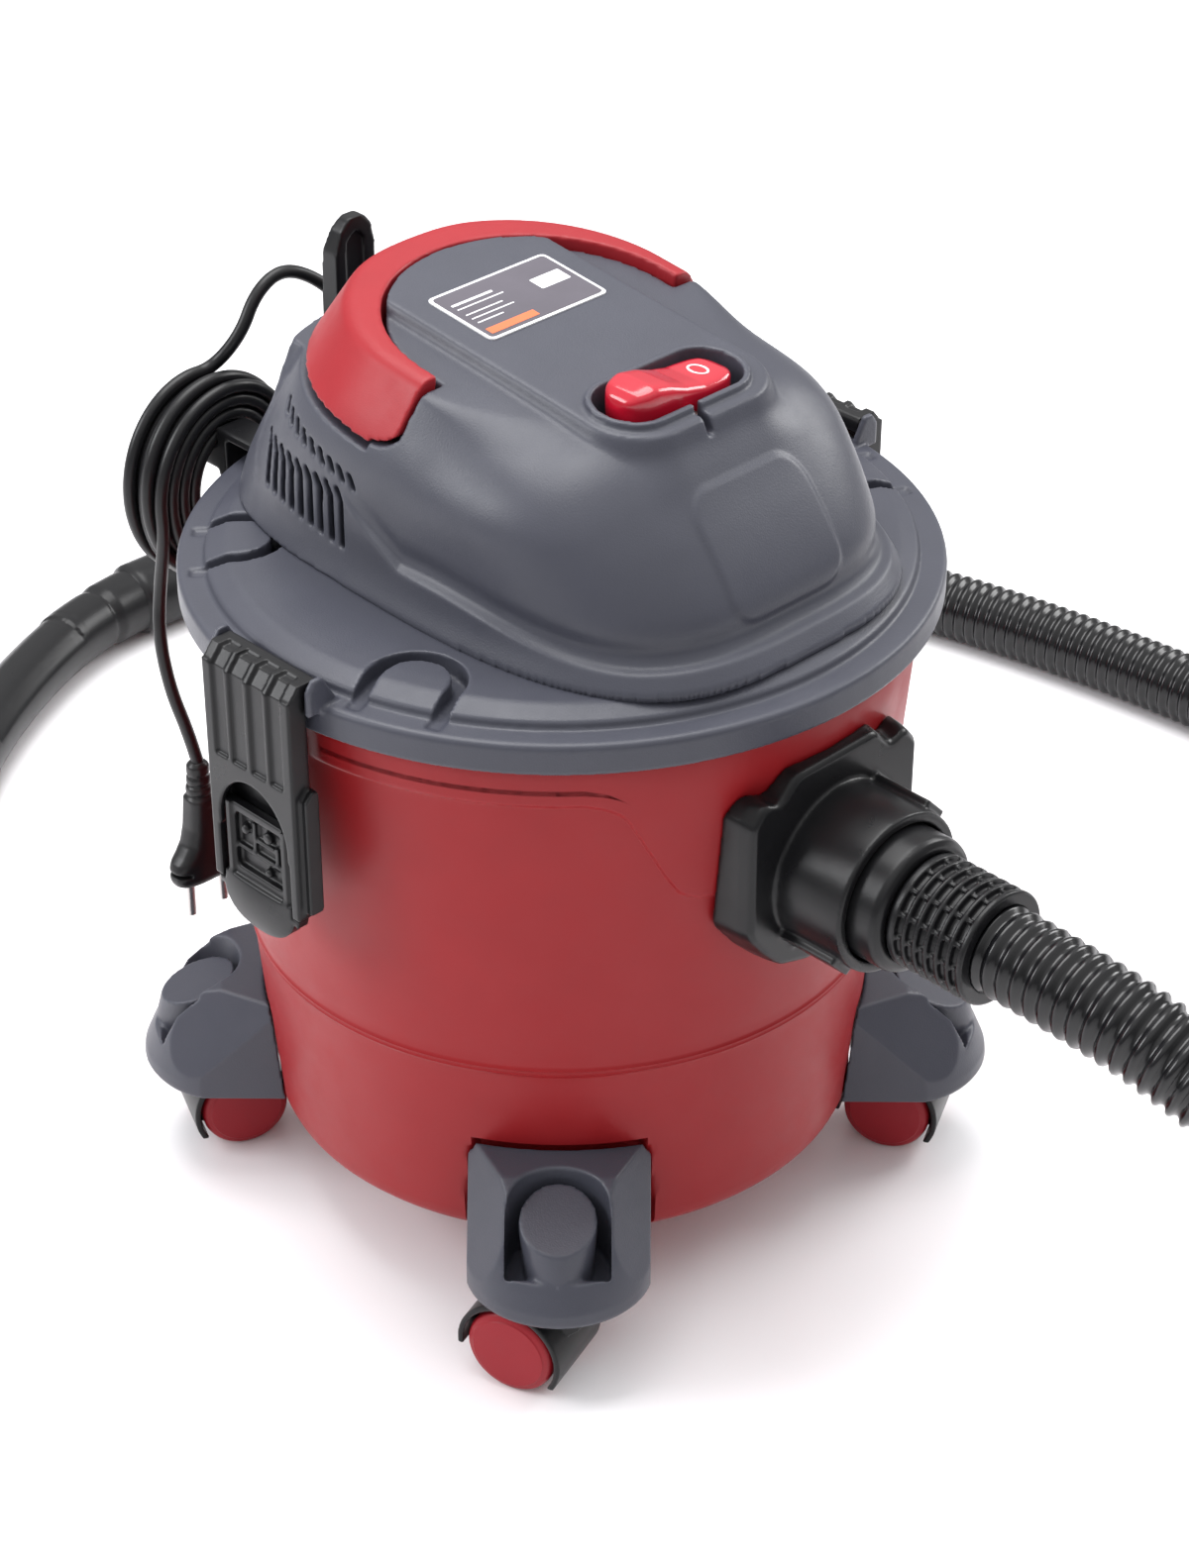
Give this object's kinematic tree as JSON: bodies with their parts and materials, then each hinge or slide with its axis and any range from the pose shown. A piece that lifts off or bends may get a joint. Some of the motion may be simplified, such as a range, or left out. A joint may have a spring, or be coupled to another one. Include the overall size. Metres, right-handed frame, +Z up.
{
  "type": "shop vacuum",
  "caption": "Wet and dry drum vacuum on swivel casters, with lift-off motor head, side latches, folding carry handle, rocker switch, corrugated suction hose and mains cord.",
  "frame": {"origin": "on the floor, under the axis of the drum", "axes": "+Z up; the hose inlet faces -Y; the latches are at -X and +X; the cord hooks are at +Y"},
  "size_m": [0.6879, 1.0679, 0.4204],
  "materials": {
    "drum_red": "moulded, fine texture",
    "body_grey": "moulded, fine texture",
    "handle_red": "satin",
    "rocker_red": "glossy",
    "wheel_red": "satin",
    "black_plastic": "satin",
    "hose_black": "glossy corrugated",
    "cord_black": "satin",
    "seal_rubber": "matte",
    "steel": "plated",
    "label_face": "printed film",
    "motor_metal": "painted",
    "fan_metal": "stamped",
    "filter_paper": "pleated",
    "float_white": "light foam ball"
  },
  "bodies": {
    "base": {"drum": "drum_red", "foot_front_left": "body_grey", "foot_front_right": "body_grey", "foot_rear_left": "body_grey", "foot_rear_right": "body_grey", "caster_stems": "steel", "inlet_box": "black_plastic", "inlet_seal": "seal_rubber", "inlet_deflector": "black_plastic", "hose_cuff": "black_plastic", "hose": "hose_black", "hose_end_cuff": "black_plastic", "handle_tube": "black_plastic"},
    "bayonet": {"bayonet_ring": "black_plastic"},
    "head": {"lid": "body_grey", "lid_seal": "seal_rubber", "latch_pins": "steel", "dome": "body_grey", "handle_pins": "steel", "label_plate": "label_face", "rocker_pin": "steel", "switch_body": "black_plastic", "motor": "motor_metal", "motor_gasket": "seal_rubber", "float_cage": "black_plastic", "filter": "filter_paper", "filter_cap": "black_plastic", "cord_hook_upper": "black_plastic", "cord_hook_lower": "black_plastic", "cord_gland": "seal_rubber", "cord_coil": "cord_black", "power_cord": "cord_black", "plug": "cord_black"},
    "carry_handle": {"carry_handle": "handle_red"},
    "rocker": {"rocker": "rocker_red"},
    "impeller": {"impeller": "fan_metal"},
    "float": {"float_ball": "float_white"},
    "latch_left": {"latch_left_hook": "black_plastic", "latch_left_pin": "steel"},
    "tongue_left": {"latch_left_tongue": "black_plastic"},
    "latch_right": {"latch_right_hook": "black_plastic", "latch_right_pin": "steel"},
    "tongue_right": {"latch_right_tongue": "black_plastic"},
    "caster_front_left": {"caster_hood_front_left": "black_plastic", "caster_axle_front_left": "steel"},
    "wheel_front_left_outer": {"wheel_front_left_outer": "wheel_red"},
    "wheel_front_left_inner": {"wheel_front_left_inner": "wheel_red"},
    "caster_front_right": {"caster_hood_front_right": "black_plastic", "caster_axle_front_right": "steel"},
    "wheel_front_right_outer": {"wheel_front_right_outer": "wheel_red"},
    "wheel_front_right_inner": {"wheel_front_right_inner": "wheel_red"},
    "caster_rear_left": {"caster_hood_rear_left": "black_plastic", "caster_axle_rear_left": "steel"},
    "wheel_rear_left_outer": {"wheel_rear_left_outer": "wheel_red"},
    "wheel_rear_left_inner": {"wheel_rear_left_inner": "wheel_red"},
    "caster_rear_right": {"caster_hood_rear_right": "black_plastic", "caster_axle_rear_right": "steel"},
    "wheel_rear_right_outer": {"wheel_rear_right_outer": "wheel_red"},
    "wheel_rear_right_inner": {"wheel_rear_right_inner": "wheel_red"}
  },
  "joints": [
    {"name": "head_lift", "type": "slide", "parent": "base", "child": "head", "axis": [0, 0, 1], "range_m": [0, 0.3]},
    {"name": "handle_swing", "type": "hinge", "parent": "head", "child": "carry_handle", "pos_m": [0, 0.014, 0.401], "axis": [1, 0, 0], "range_deg": [0, 90]},
    {"name": "switch_rock", "type": "hinge", "parent": "head", "child": "rocker", "pos_m": [0, -0.064, 0.396], "axis": [0, -1, 0], "range_deg": [0, 12]},
    {"name": "fan_spin", "type": "hinge", "parent": "head", "child": "impeller", "pos_m": [0, 0, 0.33], "axis": [0, 0, 1], "continuous": true},
    {"name": "float_rise", "type": "slide", "parent": "head", "child": "float", "axis": [0, 0, 1], "range_m": [0, 0.012]},
    {"name": "bayonet_twist", "type": "hinge", "parent": "base", "child": "bayonet", "pos_m": [0, -0.18, 0.227], "axis": [0, -1, 0], "range_deg": [0, 30]},
    {"name": "latch_left_swing", "type": "hinge", "parent": "head", "child": "latch_left", "pos_m": [-0.1575, 0, 0.318], "axis": [0, 1, 0], "range_deg": [0, 60]},
    {"name": "tongue_left_swing", "type": "hinge", "parent": "latch_left", "child": "tongue_left", "pos_m": [-0.167, 0, 0.25], "axis": [0, 1, 0], "range_deg": [0, 45]},
    {"name": "latch_right_swing", "type": "hinge", "parent": "head", "child": "latch_right", "pos_m": [0.1575, 0, 0.318], "axis": [0, -1, 0], "range_deg": [0, 60]},
    {"name": "tongue_right_swing", "type": "hinge", "parent": "latch_right", "child": "tongue_right", "pos_m": [0.167, 0, 0.25], "axis": [0, -1, 0], "range_deg": [0, 45]},
    {"name": "swivel_front_left", "type": "hinge", "parent": "base", "child": "caster_front_left", "pos_m": [-0.11738, -0.11738, 0.04], "axis": [0, 0, 1], "continuous": true},
    {"name": "spin_front_left_outer", "type": "hinge", "parent": "caster_front_left", "child": "wheel_front_left_outer", "pos_m": [-0.12171, -0.10406, 0.02], "axis": [0.9511, 0.309, 0], "continuous": true},
    {"name": "spin_front_left_inner", "type": "hinge", "parent": "caster_front_left", "child": "wheel_front_left_inner", "pos_m": [-0.12171, -0.10406, 0.02], "axis": [0.9511, 0.309, 0], "continuous": true},
    {"name": "swivel_front_right", "type": "hinge", "parent": "base", "child": "caster_front_right", "pos_m": [0.11738, -0.11738, 0.04], "axis": [0, 0, 1], "continuous": true},
    {"name": "spin_front_right_outer", "type": "hinge", "parent": "caster_front_right", "child": "wheel_front_right_outer", "pos_m": [0.11102, -0.10491, 0.02], "axis": [0.891, 0.454, 0], "continuous": true},
    {"name": "spin_front_right_inner", "type": "hinge", "parent": "caster_front_right", "child": "wheel_front_right_inner", "pos_m": [0.11102, -0.10491, 0.02], "axis": [0.891, 0.454, 0], "continuous": true},
    {"name": "swivel_rear_left", "type": "hinge", "parent": "base", "child": "caster_rear_left", "pos_m": [-0.11738, 0.11738, 0.04], "axis": [0, 0, 1], "continuous": true},
    {"name": "spin_rear_left_outer", "type": "hinge", "parent": "caster_rear_left", "child": "wheel_rear_left_outer", "pos_m": [-0.10459, 0.11169, 0.02], "axis": [-0.4067, -0.9135, 0], "continuous": true},
    {"name": "spin_rear_left_inner", "type": "hinge", "parent": "caster_rear_left", "child": "wheel_rear_left_inner", "pos_m": [-0.10459, 0.11169, 0.02], "axis": [-0.4067, -0.9135, 0], "continuous": true},
    {"name": "swivel_rear_right", "type": "hinge", "parent": "base", "child": "caster_rear_right", "pos_m": [0.11738, 0.11738, 0.04], "axis": [0, 0, 1], "continuous": true},
    {"name": "spin_rear_right_outer", "type": "hinge", "parent": "caster_rear_right", "child": "wheel_rear_right_outer", "pos_m": [0.11981, 0.10359, 0.02], "axis": [-0.9848, -0.1736, 0], "continuous": true},
    {"name": "spin_rear_right_inner", "type": "hinge", "parent": "caster_rear_right", "child": "wheel_rear_right_inner", "pos_m": [0.11981, 0.10359, 0.02], "axis": [-0.9848, -0.1736, 0], "continuous": true}
  ]
}
